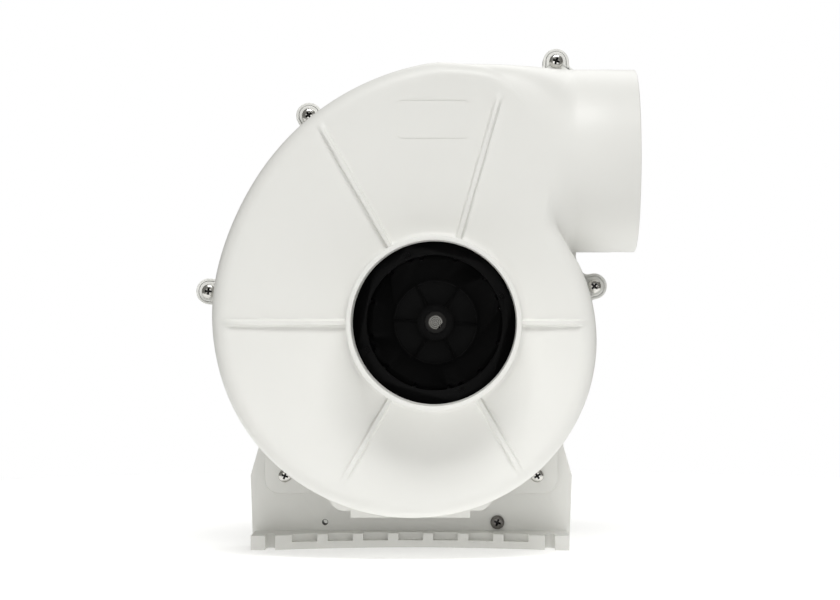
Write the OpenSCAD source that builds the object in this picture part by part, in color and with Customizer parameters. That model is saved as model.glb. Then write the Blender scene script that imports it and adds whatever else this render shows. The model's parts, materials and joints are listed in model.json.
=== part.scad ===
// Flange-mounted centrifugal blower: scroll casing, black fan wheel, and a
// 12 V motor behind a bracket plate that stands on a slotted base.
// Millimetres. +Z is up, -Y faces the inlet side, +X is the outlet side.
// The origin is the middle of the base's underside.

/* [Shaft] */
// Height of the shaft above the base's underside
shaft_z = 128.7; // [127:0.1:136]
// Sideways distance from the base's centreline to the shaft
shaft_x = 14.4; // [10:0.1:18]
// Diameter of the motor shaft
shaft_d = 8; // [8:0.1:8.4]

/* [Scroll casing] */
// Distance from the parting plane to the outside of the front face
face_depth = 50; // [49:0.1:50.5]
// Distance from the parting plane to the outside of the back wall
back_depth = 48.8; // [48:0.1:49]
// Wall thickness of both halves
wall = 2.8; // [2.4:0.1:3]
// Outside radius of the rounded edge between face and side wall
shoulder_r = 9; // [7:0.5:11]

/* [Inlet spigot] */
// Outside diameter of the inlet spigot
inlet_d = 93; // [92:0.1:94]
// How far the inlet spigot stands out of the front face
inlet_out = 23.5; // [18:0.5:30]

/* [Outlet spigot] */
// Outside diameter of the outlet tube, a 4 inch duct size
outlet_d = 101.6; // [101:0.1:102]
// Height of the outlet's centre above the shaft
outlet_z = 89.8; // [89:0.1:90.5]
// Distance from the shaft to the outlet's end
outlet_end = 111.1; // [105:0.1:125]

/* [Fan wheel] */
// Outside diameter of the fan wheel
wheel_d = 150; // [140:1:154]
// Diameter of the eye in the wheel's front shroud
eye_d = 73.5; // [70:0.5:75]
// Number of blades
blade_count = 12; // [8:4:16]
// Thickness of one blade
blade_t = 1.8; // [1.4:0.1:2.2]

/* [Motor] */
// Outside diameter of the motor can
can_d = 70; // [69:0.5:71]
// Length of the motor can
can_len = 60; // [60:1:64]
// Number of slots in the armature
slot_count = 12; // [10:2:14]

/* [Bracket and base] */
// Width of the base at its front corners
base_w = 180; // [176:1:184]
// Front to back length of the base
base_len = 120; // [116:1:130]
// Height of the base's deck
base_h = 8.2; // [8:0.1:9]
// Height of the front rail below the notches
rail_h = 4.2; // [3.5:0.1:5]
// Thickness of the upright plate
plate_t = 5; // [4:0.5:6]
// Spacing of the screws that hold the casing to the plate, both ways
flange_pitch = 145.4; // [144:0.1:147]

/* [Screws] */
// Diameter of the pan heads
head_d = 7.6; // [7:0.1:8]
// Diameter of the screw shanks
shank_d = 3.8; // [3.6:0.1:3.9]

/* [Hidden] */
$fn = 64;

// Colours
white = [0.93, 0.93, 0.91];
black = [0.05, 0.05, 0.055];
steel = [0.72, 0.72, 0.74];
dark_steel = [0.36, 0.36, 0.38];
zinc = [0.62, 0.63, 0.65];
copper = [0.78, 0.45, 0.28];
brass = [0.8, 0.66, 0.35];
rubber = [0.1, 0.1, 0.1];
phenolic = [0.42, 0.24, 0.13];
carbon = [0.2, 0.2, 0.21];
magnet_grey = [0.28, 0.28, 0.3];

// Frame: depths along Y are counted from the casing's parting plane
base_front_depth = 17;
parting_y = -base_len/2 - base_front_depth;

// Scroll: outside radius every 30 degrees, clockwise from 30 degrees above +X
scroll_step = 30;
scroll_r = [83.2, 87, 92.5, 98.8, 104.6, 111, 117, 119.9, 122, 130, 140.6, 153];
tongue_angle = 27;
tongue_r = 83.5;
tongue_x = 73;
duct_start = 15;
outlet_r = outlet_d/2;
outlet_root = 78;
duct_r = outlet_r - 0.4;
top_z = outlet_z + duct_r;
lip = 1.5;
lip_gap = 0.15;
lip_depth = 2.5;
// Screw lugs round the parting line: place, then direction and length of the web
lugs = [[67.2, 145, -90, 5.8], [-70.1, 115, -58.6, 6.9], [-125.7, 17.3, -7.8, 9.1],
    [88.3, 20.1, 192.8, 6]];
lug_r = 5.5;
lug_rim_r = 7.2;
lug_front = 4;
lug_back = 12;
// Sloping root of the inlet spigot, as high as the ribs that meet it
root_h = 2.6;
// Ribs of the front face as angle and outer radius
face_ribs = [[0, 79], [74, 128], [120, 122.5], [180, 110], [240, 99], [300, 91]];

// Fan wheel stations along the shaft
shroud_front = -36;
shroud_t = 1.8;
shroud_edge = -22;
disc_front = 27;
disc_t = 2.2;
hub_front = 16;
hub_back = 37;
hub_r = 10.3;
hub_recess_r = 6.1;
shaft_front = 18.5;
pin_circle_r = 39.5;
pin_angle = 22;
wheel_r = wheel_d/2;
eye_r = eye_d/2;
flat_angle = -42;
flat_depth = 0.9;
grub_depth = 32;

// Motor stations along the shaft
plate_front = 49;
plate_back = plate_front + plate_t;
shaft_r = shaft_d/2;
can_r = can_d/2;
can_wall = 2.2;
bell_front = plate_front + 1;
can_front = bell_front + 8;
can_back = can_front + can_len;
card_t = 2;
bell_back = can_back + card_t;
bearing_w = 7;
bearing_r = 11;
front_bearing = bell_front + 2;
rear_bearing = bell_back + 3;
shaft_back = rear_bearing + bearing_w + 0.5;
shaft_hole_r = 14;
motor_screw_r = 27;
bolt_r = 29.5;
ball_r = 1.98;
ball_circle_r = 7.75;
ball_count = 7;
core_front = can_front + 8;
core_back = core_front + 32;
core_r = 25.2;
commutator_front = core_back + 6;
commutator_back = commutator_front + 12;
commutator_r = 11;
brush_mid = commutator_front + 6;
brush_size = [6, 7, 12];
brush_gap = 0.25;
brush_slack = 0.3;
holder_wall = 0.8;
holder_end = 30;
holder_size = [brush_size[0] + 2*brush_gap + 2*holder_wall, brush_size[1] + 2*brush_gap + 2*holder_wall];
spring_turns = 5;

// Bracket stations
flange_w = 169.4;
flange_t = 2.7;
upper_screw_end = 46.8;
flange_low = 29.7;
flange_screw_z = 40.1;
cover_r = 43.5;
cover_t = 2.5;
cover_back = bell_back + 18;
cover_pitch_r = 49;
grommet_z = -25;
grommet_back = cover_back + 3;
motor_hole_r = 38.5;
plate_top = 193;
front_arc_r = 200;
front_hollow = 15.4;
notch_depth = 6.6;
notch_w = 14;
notch_pitch = 20;
slot_x = 79;
slot_w = 5.6;
slot_depth = 11;
small_screw_x = 49.8;
small_screw_z = 13;

// ---------- Helpers ----------

// Moves shaft and parting-plane coordinates to the part's own frame
module place() {
    translate([shaft_x, parting_y, shaft_z]) children();
}

// Turns a shape drawn about Z so that it runs along +Y from a depth
module along(depth) {
    translate([0, depth, 0]) rotate([-90, 0, 0]) children();
}

// Ring along +Y between two depths
module ring(outer, inner, from, to) {
    along(from) difference() {
        cylinder(r = outer, h = to - from);
        translate([0, 0, -1]) cylinder(r = inner, h = to - from + 2);
    }
}

// Rod along +Y between two depths
module rod(r, from, to) {
    along(from) cylinder(r = r, h = to - from);
}

// Flat outline in X and Z, given thickness between two depths
module slab(from, to) {
    translate([0, to, 0]) rotate([90, 0, 0]) linear_extrude(to - from) children();
}

// Rounded rectangle from its lower left corner
module rounded_rect(w, h, r) {
    translate([r, 0]) square([w - 2*r, h]);
    translate([0, r]) square([w, h - 2*r]);
    for (x = [r, w - r], z = [r, h - r]) translate([x, z]) circle(r);
}

// Pan-head screw pointing along +Y, its seat at depth 0
module pan_screw(length, head = head_d, shank = shank_d) {
    head_h = head*0.34;
    difference() {
        along(-head_h) cylinder(r1 = head*0.3, r2 = head/2, h = head_h*0.55);
        cross_recess(head, head_h);
    }
    along(-head_h*0.45) cylinder(r = head/2, h = head_h*0.45);
    rod(shank/2, 0, length);
}

// Cross recess cut into the front of a pan head
module cross_recess(head, head_h) {
    for (a = [0, 90]) rotate([0, a + 20, 0])
        translate([-head*0.2, -head_h - 1, -head*0.055])
            cube([head*0.4, 1 + head_h*0.5, head*0.11]);
}

// ---------- Scroll outline ----------

function smooth(t) = let (s = min(max(t, 0), 1)) s*s*(3 - 2*s);

function spline(a, b, c, d, t) =
    0.5*(2*b + (c - a)*t + (2*a - 5*b + 4*c - d)*t*t + (3*b - a - 3*c + d)*t*t*t);

// Outside radius of the scroll, from a turn clockwise past 30 degrees above +X
function scroll_radius(turn) =
    let (i = min(floor(turn/scroll_step), len(scroll_r) - 3), t = turn/scroll_step - i,
         before = i == 0 ? 2*scroll_r[0] - scroll_r[1] : scroll_r[i - 1])
    spline(before, scroll_r[i], scroll_r[i + 1], scroll_r[i + 2], t);

// Point with its coordinates rounded to whole microns
function microns(p) = [for (v = p) round(1000*v)/1000];

// Outline points from the outlet's root over the top and round to the tongue
function rim_points(grow) = concat(
    [microns([outlet_root, top_z + grow])],
    [for (angle = [90:7.5:382.5]) let (r = scroll_radius(390 - angle) + grow)
        microns([r*cos(angle), r*sin(angle)])]);

function reversed(list) = [for (i = [len(list) - 1:-1:0]) list[i]];

// Radius where the scroll's own rounded edge lies, which runs on inside the duct
function disc_radius(angle) =
    angle < tongue_angle ? scroll_radius(30 - angle)
    : angle < 90 ? tongue_r + (top_z - tongue_r)*smooth((angle - 35)/45)
    : scroll_radius(390 - angle);

// Larger of two heights, blended over a distance k where they are close
function soft_max(a, b, k) = let (h = max(k - abs(a - b), 0)) max(a, b) + h*h/(4*k);

// Height of the scroll at a distance inside its rounded edge
function edge_height(inside, r, depth) =
    depth - r + sqrt(max(r*r - pow(max(r - inside, 0), 2), 0));

// Height of the duct, which turns from a rounded box into the round outlet
function duct_height(x, z, r, depth) =
    let (t = smooth((x - duct_start)/(outlet_root - duct_start)), n = 9 - 7*t,
         v = min(abs(z - outlet_z)/r, 1))
    (depth + (r - depth)*t*t)*pow(1 - pow(v, n), 1/n);

// Height of the casing over the parting plane, with all its walls moved in
function casing_height(angle, radius, depth, inset) =
    let (inside = disc_radius(angle) - inset - radius,
         disc = inside > 0 ? edge_height(inside, shoulder_r - inset, depth - inset) : 0,
         duct = angle > tongue_angle - 1 && angle < 90
            ? duct_height(radius*cos(angle), radius*sin(angle), duct_r - inset, depth - inset)
            : 0)
    min(soft_max(disc, duct, 4), max(depth - inset, duct));

// One spoke of the casing: its angle and where it meets the outline
function spokes(inset) =
    let (end = outlet_root + (inset > 0 ? 1 : 0), r = duct_r - inset)
    concat(
        [for (turn = [292.5:-7.5:7.5]) [30 - turn, scroll_radius(turn) - inset]],
        [for (t = [-90:15:90]) let (z = outlet_z + r*sin(t)) [atan2(z, end), norm([end, z])]],
        [for (x = [60:-15:0]) let (z = outlet_z + r) [atan2(z, x), norm([x, z])]]);

// Radii sampled along a spoke, closer together towards its end
function spoke_radii(rim, edge) = concat(
    [for (i = [1:7]) (rim - edge)*(1 - pow(1 - i/7, 1.4))],
    [for (i = [1:4]) rim - edge + edge*sin(22.5*i)]);

// Half of the casing as a closed solid, on the side towards -Y
module scroll_half(depth, inset) {
    least = inset > 0 ? 0.4 : 0.5;
    lines = spokes(inset);
    n = len(lines);
    m = 12;
    edge = shoulder_r - inset;
    points = concat(
        [for (s = lines)
            each concat(
                [for (r = spoke_radii(s[1], edge)) microns([r*cos(s[0]),
                    -max(casing_height(s[0], r, depth, inset), least), r*sin(s[0])])],
                [microns([s[1]*cos(s[0]), 0, s[1]*sin(s[0])])])],
        [[0, inset - depth, 0], [0, 0, 0]]);
    polyhedron(points, concat(
        [for (i = [0:n - 1], j = [0:m - 2]) let (a = i*m + j, b = (i + 1)%n*m + j)
            each [[a, b, a + 1], [b, b + 1, a + 1]]],
        [for (i = [0:n - 1]) [(i + 1)%n*m, i*m, n*m]],
        [for (i = [0:n - 1]) [i*m + m - 1, (i + 1)%n*m + m - 1, n*m + 1]]), convexity = 6);
}

// Half of the casing as an open shell
module scroll_shell(depth) {
    difference() {
        scroll_half(depth, 0);
        scroll_half(depth, wall);
    }
}

// ---------- Casing ----------

// Raised rib on the front face, from the inlet spigot outwards
module face_rib(angle, length) {
    rotate([0, -angle, 0]) translate([0, -face_depth, -1.5])
        linear_extrude(3) polygon([[inlet_d/2 - 1, 1.5], [length, 1.5], [length, 0.2],
            [length - 12, -2], [inlet_d/2 - 1, -2.4]]);
}

// Round lug with a web that joins it to the casing's wall
module lug(p, r, from, to) {
    translate([p[0], 0, p[1]]) {
        rod(r, from, to);
        rotate([0, -p[2], 0]) translate([0, from + 0.3, -r*0.9])
            cube([p[3], to - from - 0.6, r*1.8]);
    }
}

// Flat skirt under the scroll, its sides eased in by S curves
module skirt_outline() {
    left = [for (t = [0:30:180]) [-66 + 14*t/180, -94 - 5.3*(1 - cos(t))]];
    right = [for (t = [180:-30:0]) [25 + (180 - t)*12/180, -96 - 4.3*(1 - cos(t))]];
    inner = [for (angle = [292.5:-7.5:232.5]) let (r = scroll_radius(390 - angle) - wall/2)
        microns([r*cos(angle), r*sin(angle)])];
    polygon(concat(left, [[-47, -104.6], [-47, -108.5], [19.4, -108.5], [19.4, -104.6]], right,
        inner));
}

module front_cover() {
    color(white) place() difference() {
        union() {
            scroll_shell(face_depth);
            ring(inlet_d/2, inlet_d/2 - 4, -face_depth - inlet_out, -face_depth + 5);
            along(-face_depth - root_h)
                cylinder(r1 = inlet_d/2, r2 = inlet_d/2 + root_h + 1, h = root_h + 1);
            translate([outlet_root, 0, outlet_z]) rotate([0, 90, 0])
                cylinder(r = outlet_r, h = outlet_end - outlet_root);
            intersection() {
                translate([tongue_x, 0, outlet_z]) rotate([0, 90, 0])
                    cylinder(r1 = duct_r - 0.6, r2 = duct_r, h = outlet_root - tongue_x + 1);
                translate([tongue_x, -outlet_r - 1, outlet_z - outlet_r - 1]) cube([10, outlet_r + 1, 21]);
            }
            for (rib = face_ribs) face_rib(rib[0], rib[1]);
            for (p = lugs) lug(p, lug_r, -lug_front, 0);
            slab(-3, 0) skirt_outline();
        }
        rod(inlet_d/2 - wall, -face_depth - inlet_out - 1, -face_depth + 8);
        translate([tongue_x - 1, 0, outlet_z]) rotate([0, 90, 0])
            cylinder(r = outlet_r - wall, h = outlet_end - tongue_x + 2);
        for (p = lugs) translate([p[0], 0, p[1]]) rod(shank_d/2 + 0.25, -lug_front - 1, 1);
    }
}

module rear_casing() {
    color(white) place() difference() {
        union() {
            mirror([0, 1, 0]) scroll_shell(back_depth);
            slab(-lip_depth, 4) polygon(concat(rim_points(lip), reversed(rim_points(-wall/2))));
            for (p = lugs) lug(p, lug_rim_r, -lip_depth, lug_back);
            flange();
        }
        slab(-lip_depth - 1, 0)
            polygon(concat(rim_points(lip_gap), [[80, 34], [80, top_z + lip_gap]]));
        translate([-68.5, -lip_depth - 1, -112]) cube([107.5, lip_depth + 1, 32]);
        for (p = lugs) lug(p, lug_r + lip_gap, -lip_depth - 1, 0);
        for (p = lugs) translate([p[0], 0, p[1]]) rod(shank_d/2 + 0.05, -1, lug_back + 1);
        rod(shaft_hole_r, back_depth - 6, plate_front + 1);
        motor_screw_spots() rod(shank_d/2 + 0.2, back_depth - 6, plate_front + 1);
        flange_screw_spots(0) rod(shank_d/2 + 0.2, back_depth - 6, plate_front + 1);
        flange_screw_spots(flange_pitch) rod(shank_d/2 + 0.05, upper_screw_end, plate_front + 1);
    }
}

// Square flange of the rear casing that lies on the bracket plate
module flange() {
    slab(plate_front - flange_t, plate_front)
        translate([-flange_w/2 - shaft_x, flange_low - shaft_z])
            rounded_rect(flange_w, flange_pitch + 2*(flange_screw_z - flange_low), 8.5);
}

// Both screws of the flange's lower row, or with rise = flange_pitch of its upper row
module flange_screw_spots(rise) {
    for (x = [-1, 1]*flange_pitch/2)
        translate([x - shaft_x, 0, flange_screw_z + rise - shaft_z]) children();
}

module motor_screw_spots() {
    for (a = [90, 210, 330]) translate([motor_screw_r*cos(a), 0, motor_screw_r*sin(a)]) children();
}

module casing_screws() {
    color(steel) place() for (p = lugs)
        translate([p[0], -lug_front, p[1]]) pan_screw(lug_front + lug_back - 2);
}

// ---------- Bracket ----------

module plate_outline() {
    slope_z = 57;
    side = 88;
    polygon([[-91.5, 0], [-92.85, 40], [-side, slope_z], [-side, plate_top - 16],
        [-side + 16, plate_top], [side - 16, plate_top], [side, plate_top - 16],
        [side, slope_z], [92.85, 40], [91.5, 0]]);
}

// Outline of the base seen from above, with a hollowed front edge and four open slots
module base_outline(edge_radius) {
    difference() {
        translate([-base_w/2, -base_len/2]) square([base_w, base_len]);
        translate([0, -front_arc_r - base_len/2 + front_hollow]) circle(edge_radius, $fn = 180);
        for (x = [-1, 1]*slot_x, side = [-1, 1]) {
            translate([x, side*(base_len/2 - slot_depth)]) circle(slot_w/2);
            translate([x - slot_w/2, side > 0 ? base_len/2 - slot_depth : -base_len/2 - 1])
                square([slot_w, slot_depth + 1]);
        }
    }
}

// Slotted base: a low rail, and a deck with a row of notches along its front edge
module base() {
    linear_extrude(rail_h + 0.01) base_outline(front_arc_r);
    translate([0, 0, rail_h]) linear_extrude(base_h - rail_h) difference() {
        base_outline(front_arc_r);
        intersection() {
            translate([0, -front_arc_r - base_len/2 + front_hollow])
                circle(front_arc_r + notch_depth, $fn = 180);
            for (i = [-3:3]) translate([i*notch_pitch - notch_w/2, -base_len/2 - 1])
                square([notch_w, 40]);
        }
    }
}

// Triangular web between the plate and the base
module gusset(x) {
    translate([x - 2.5, parting_y + plate_back - 1, base_h - 1]) rotate([90, 0, 90])
        linear_extrude(5) difference() {
            polygon([[0, 0], [62, 0], [62, 6], [9, 92], [0, 92]]);
            translate([74, 84]) circle(62);
        }
}

module mounting_bracket() {
    color(white) difference() {
        union() {
            translate([0, parting_y, 0]) slab(plate_front, plate_back) plate_outline();
            base();
            for (x = [-70, 70]) gusset(x);
            for (x = [-1, 1]*small_screw_x) translate([x, parting_y, small_screw_z])
                rod(4.6, plate_back - 1, plate_back + 6);
        }
        place() rod(motor_hole_r, plate_front - 1, plate_back + 1);
        for (rise = [0, flange_pitch]) place() flange_screw_spots(rise)
            rod(shank_d/2 + 0.05, plate_front - 1, plate_back + 1);
        place() cover_screw_spots() rod(shank_d/2 + 0.05, plate_front - 1, plate_back + 1);
        translate([small_screw_x, parting_y, small_screw_z])
            rod(shank_d/2 + 0.05, plate_front - 1, plate_back + 8);
        translate([-small_screw_x, parting_y, small_screw_z])
            rod(1.75, plate_front - 1, plate_back + 8);
    }
}

// The lower pair comes from the front, and the upper pair, under the scroll, from behind
module flange_screws() {
    color(steel) place() {
        flange_screw_spots(0) translate([0, plate_front - flange_t, 0]) pan_screw(plate_t + 1.7);
        flange_screw_spots(flange_pitch) translate([0, plate_back, 0])
            mirror([0, 1, 0]) pan_screw(plate_back - upper_screw_end);
    }
}

module bracket_screw() {
    color(dark_steel) translate([small_screw_x, parting_y + plate_front, small_screw_z])
        pan_screw(9, head = 8);
}

// ---------- Motor ----------

module motor_gasket() {
    color(rubber) place() difference() {
        ring(can_r + 0.5, 22, plate_front, bell_front);
        motor_screw_spots() rod(shank_d/2 + 0.2, plate_front - 1, bell_front + 1);
    }
}

module motor_screws() {
    color(steel) place() motor_screw_spots()
        translate([0, back_depth - wall, 0]) pan_screw(10.5, head = 7);
}

module motor_can() {
    color(zinc) place() ring(can_r, can_r - can_wall, can_front, can_back);
}

module bolt_spots() {
    for (x = [-1, 1]*bolt_r) translate([x, 0, 0]) children();
}

module front_end_bell() {
    color(zinc) place() difference() {
        union() {
            rod(can_r + 0.5, bell_front, front_bearing);
            rod(bearing_r + 3, bell_front, front_bearing + bearing_w);
            ring(can_r, can_r - can_wall, front_bearing - 1, can_front);
            bolt_spots() rod(3.2, bell_front, can_front - 1);
            motor_screw_spots() rod(4, bell_front, can_front - 1);
        }
        rod(bearing_r, front_bearing, can_front + 3);
        rod(9, bell_front - 1, can_front);
        bolt_spots() rod(1.95, bell_front - 1, can_front + 1);
        motor_screw_spots() rod(shank_d/2 + 0.05, bell_front - 1, can_front + 1);
    }
}

module rear_end_bell() {
    color(zinc) place() difference() {
        union() {
            rod(can_r, bell_back, bell_back + 2.5);
            rod(bearing_r + 3, bell_back, rear_bearing + bearing_w + 3);
        }
        rod(bearing_r, rear_bearing, rear_bearing + bearing_w + 1);
        rod(9, bell_back - 1, rear_bearing + 1);
        bolt_spots() rod(2.2, bell_back - 1, bell_back + 4);
    }
}

// Long bolts that clamp both end bells on the can, heads at the back
module through_bolts() {
    color(steel) place() bolt_spots() {
        rod(1.9, bell_front + 1, bell_back + 2.5);
        rod(3.2, bell_back + 2.5, bell_back + 5.5);
    }
}

module field_magnets() {
    color(magnet_grey) place() for (side = [0, 180]) rotate([0, side, 0]) intersection() {
        ring(can_r - can_wall, core_r + 1, core_front - 3, core_back + 3);
        slab(core_front - 4, core_back + 4)
            polygon([[0, 0], [50*cos(25), 50*sin(25)], [0, 120], [-50*cos(25), 50*sin(25)]]);
    }
}

module brush_card() {
    color(phenolic) place() difference() {
        rod(can_r, can_back, bell_back);
        rod(commutator_r + 2, can_back - 1, bell_back + 1);
        bolt_spots() rod(2.2, can_back - 1, bell_back + 1);
    }
}

module brush_holders() {
    color(brass) place() for (side = [0, 180]) rotate([0, side, 0]) difference() {
        union() {
            translate([-holder_size[0]/2, brush_mid - holder_size[1]/2, commutator_r + 2.5])
                cube([holder_size[0], holder_size[1], holder_end - commutator_r - 2.5]);
            translate([-2.5, brush_mid, holder_end - 12]) cube([5, can_back - brush_mid, 8]);
        }
        translate([-holder_size[0]/2 + holder_wall, brush_mid - holder_size[1]/2 + holder_wall, 0])
            cube([brush_size[0] + 2*brush_gap, brush_size[1] + 2*brush_gap,
                holder_end - holder_wall]);
    }
}

// Brush standing on the commutator, its foot hollowed to the commutator's radius
module brush_above() {
    color(carbon) place() difference() {
        translate([-brush_size[0]/2, brush_mid - brush_size[1]/2, commutator_r - 0.3])
            cube([brush_size[0], brush_size[1], brush_size[2]]);
        rod(commutator_r + brush_slack, commutator_front, commutator_back);
    }
}

module upper_brush() {
    brush_above();
}

module lower_brush() {
    translate([2*shaft_x, 0, 2*shaft_z]) rotate([0, 180, 0]) brush_above();
}

// Round wire wound from a start height to an end height about +Z
module coil_spring(from, to, coil_r, wire_r) {
    rings = 14*spring_turns;
    sides = 8;
    function centre(i) = [coil_r*cos(i*360/14), coil_r*sin(i*360/14),
        from + wire_r + (to - from - 2*wire_r)*i/rings];
    points = [for (i = [0:rings], k = [0:sides - 1])
        let (a = i*360/14, b = k*360/sides, c = centre(i))
        c + wire_r*[cos(b)*cos(a), cos(b)*sin(a), sin(b)]];
    polyhedron(points, concat(
        [[for (k = [sides - 1:-1:0]) k]],
        [for (i = [0:rings - 1], k = [0:sides - 1])
            let (a = i*sides + k, b = i*sides + (k + 1)%sides)
            each [[a, b, a + sides], [b, b + sides, a + sides]]],
        [[for (k = [0:sides - 1]) rings*sides + k]]));
}

module spring_above() {
    color(steel) place() translate([0, brush_mid, 0])
        coil_spring(commutator_r - 0.3 + brush_size[2] + 0.1, holder_end - holder_wall - 0.1, 2.2, 0.3);
}

module upper_brush_spring() {
    spring_above();
}

module lower_brush_spring() {
    translate([2*shaft_x, 0, 2*shaft_z]) rotate([0, 180, 0]) spring_above();
}

module terminal_tabs() {
    color(brass) place() for (a = [45, 135]) rotate([0, -a, 0])
        translate([19, can_back - 7, -0.4]) cube([4.8, 7, 0.8]);
}

// ---------- Bearings ----------

module bearing_outer_ring(from) {
    color(steel) place() difference() {
        ring(bearing_r, 9.3, from, from + bearing_w);
        ball_track(from);
    }
}

module bearing_inner_ring(from) {
    color(steel) place() difference() {
        ring(6.2, shaft_r, from, from + bearing_w);
        ball_track(from);
    }
}

// Round groove that the balls run in
module ball_track(from) {
    along(from + bearing_w/2) rotate_extrude() translate([ball_circle_r, 0])
        circle(ball_r + 0.12);
}

module ball_spots() {
    for (i = [0:ball_count - 1]) rotate([0, i*360/ball_count, 0])
        translate([ball_circle_r, 0, 0]) children();
}

module bearing_balls(from) {
    color(steel) place() translate([0, from + bearing_w/2, 0]) ball_spots() sphere(ball_r);
}

module bearing_cage(from) {
    color(brass) place() difference() {
        ring(8.3, 7.2, from + bearing_w/2 - 2.6, from + bearing_w/2 + 2.6);
        translate([0, from + bearing_w/2, 0]) ball_spots() rotate([0, 90, 0])
            cylinder(r = ball_r + 0.1, h = 4, center = true);
    }
}

module front_bearing_outer_ring() {
    bearing_outer_ring(front_bearing);
}

module front_bearing_inner_ring() {
    bearing_inner_ring(front_bearing);
}

module front_bearing_balls() {
    bearing_balls(front_bearing);
}

module front_bearing_cage() {
    bearing_cage(front_bearing);
}

module rear_bearing_outer_ring() {
    bearing_outer_ring(rear_bearing);
}

module rear_bearing_inner_ring() {
    bearing_inner_ring(rear_bearing);
}

module rear_bearing_balls() {
    bearing_balls(rear_bearing);
}

module rear_bearing_cage() {
    bearing_cage(rear_bearing);
}

module wave_washer() {
    color(steel) place() ring(bearing_r - 0.2, 9.6, rear_bearing + bearing_w,
        rear_bearing + bearing_w + 0.9);
}

// ---------- Rotor ----------

module shaft() {
    color(steel) place() difference() {
        rod(shaft_r, shaft_front, shaft_back);
        rotate([0, -flat_angle, 0]) translate([shaft_r - flat_depth, shaft_front - 1, -shaft_r])
            cube([shaft_r, 19, 2*shaft_r]);
    }
}

module shaft_spacer() {
    color(zinc) place() ring(6, shaft_r, hub_back, front_bearing);
}

module armature_core() {
    color(dark_steel) place() slab(core_front, core_back) difference() {
        circle(core_r);
        circle(shaft_r);
        for (i = [0:slot_count - 1]) rotate(i*360/slot_count) {
            translate([18.5, 0]) circle(3.9);
            translate([18.5, -1]) square([10, 2]);
        }
    }
}

module armature_windings() {
    color(copper) place() {
        for (end = [core_front - 5, core_back]) ring(22.8, 9, end, end + 5);
        for (i = [0:slot_count - 1]) rotate([0, i*360/slot_count, 0])
            translate([18.5, 0, 0]) rod(3.6, core_front - 1, core_back + 1);
    }
}

module commutator_hub() {
    color(phenolic) place() ring(7.5, shaft_r, commutator_front - 0.7, commutator_back);
}

module commutator_bars() {
    color(copper) place() difference() {
        ring(commutator_r, 7.5, commutator_front, commutator_back);
        for (i = [0:slot_count - 1]) rotate([0, (i + 0.5)*360/slot_count, 0])
            translate([7.4, commutator_front - 1, -0.25])
                cube([5, commutator_back - commutator_front + 2, 0.5]);
    }
}

module wheel_hub_insert() {
    color(dark_steel) place() difference() {
        ring(hub_recess_r, shaft_r, hub_front + 4.5, hub_back);
        rotate([0, -flat_angle, 0]) translate([0, grub_depth, 0]) rotate([0, 90, 0])
            cylinder(r = 2.05, h = 12);
    }
}

// ---------- Fan wheel ----------

// Profile of the inside of the wheel, between its back disc and its shroud
module blade_space() {
    along(0) rotate_extrude() polygon([[pin_circle_r - 3.2, shroud_front + shroud_t + 0.05],
        [45, shroud_front + shroud_t + 0.05], [wheel_r, shroud_edge + 0.05],
        [wheel_r, disc_front + 0.5], [pin_circle_r - 3.2, disc_front + 0.5]]);
}

// Swept-back blade from the eye to the rim
module blade() {
    arc_r = 44;
    slab(shroud_front, disc_front + 0.5) translate([56, -28]) difference() {
        circle(arc_r + blade_t/2, $fn = 128);
        circle(arc_r - blade_t/2, $fn = 128);
        translate([-100, -100]) square([200, 92]);
        rotate(38) translate([0, -100]) square([100, 200]);
    }
}

module fan_wheel() {
    color(black) place() difference() {
        union() {
            rod(wheel_r, disc_front, disc_front + disc_t);
            rod(hub_r, hub_front, hub_back);
            ring(24.2, 23.2, disc_front - 3, disc_front + 1);
            for (a = [57, 118, 177, -122, -62, -3]) rotate([0, -a, 0])
                translate([hub_r - 1, disc_front - 4, -0.7]) cube([23.5 - hub_r + 1, 5, 1.4]);
            intersection() {
                blade_space();
                for (i = [0:blade_count - 1]) rotate([0, -pin_angle - i*360/blade_count, 0]) blade();
            }
            for (i = [0:3]) rotate([0, -pin_angle - 90*i, 0]) translate([pin_circle_r, 0, 0])
                rod(2.6, shroud_front + shroud_t + 0.05, disc_front + 1);
        }
        rod(hub_recess_r, hub_front - 1, hub_back + 1);
        rotate([0, -flat_angle, 0]) translate([0, grub_depth, 0]) rotate([0, 90, 0])
            cylinder(r = 2.05, h = 12);
        for (i = [0:3]) rotate([0, -pin_angle - 90*i, 0]) translate([pin_circle_r, 0, 0])
            rod(1.25, shroud_front, shroud_front + 9);
    }
}

module wheel_shroud() {
    color(black) place() difference() {
        along(0) rotate_extrude() polygon([[eye_r, shroud_front], [45, shroud_front],
            [wheel_r, shroud_edge - shroud_t], [wheel_r, shroud_edge],
            [45, shroud_front + shroud_t], [eye_r, shroud_front + shroud_t]]);
        for (i = [0:3]) rotate([0, -pin_angle - 90*i, 0]) translate([pin_circle_r, 0, 0])
            rod(1.25, shroud_front - 1, shroud_front + 3);
    }
}

module shroud_rivets() {
    color(black) place() for (i = [0:3]) rotate([0, -pin_angle - 90*i, 0])
        translate([pin_circle_r, 0, 0]) rod(1.2, shroud_front + 0.6, shroud_front + 8);
}

module hub_grub_screw() {
    color(dark_steel) place() rotate([0, -flat_angle, 0]) translate([0, grub_depth, 0])
        rotate([0, 90, 0]) difference() {
            translate([0, 0, shaft_r - flat_depth + 0.02]) cylinder(r = 2, h = 5.5);
            translate([0, 0, shaft_r + 2.5]) cylinder(r = 1.1, h = 5, $fn = 6);
        }
}

// ---------- Motor cover ----------

module cover_screw_spots() {
    for (a = [45:90:315]) translate([cover_pitch_r*cos(a), 0, cover_pitch_r*sin(a)]) children();
}

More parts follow.
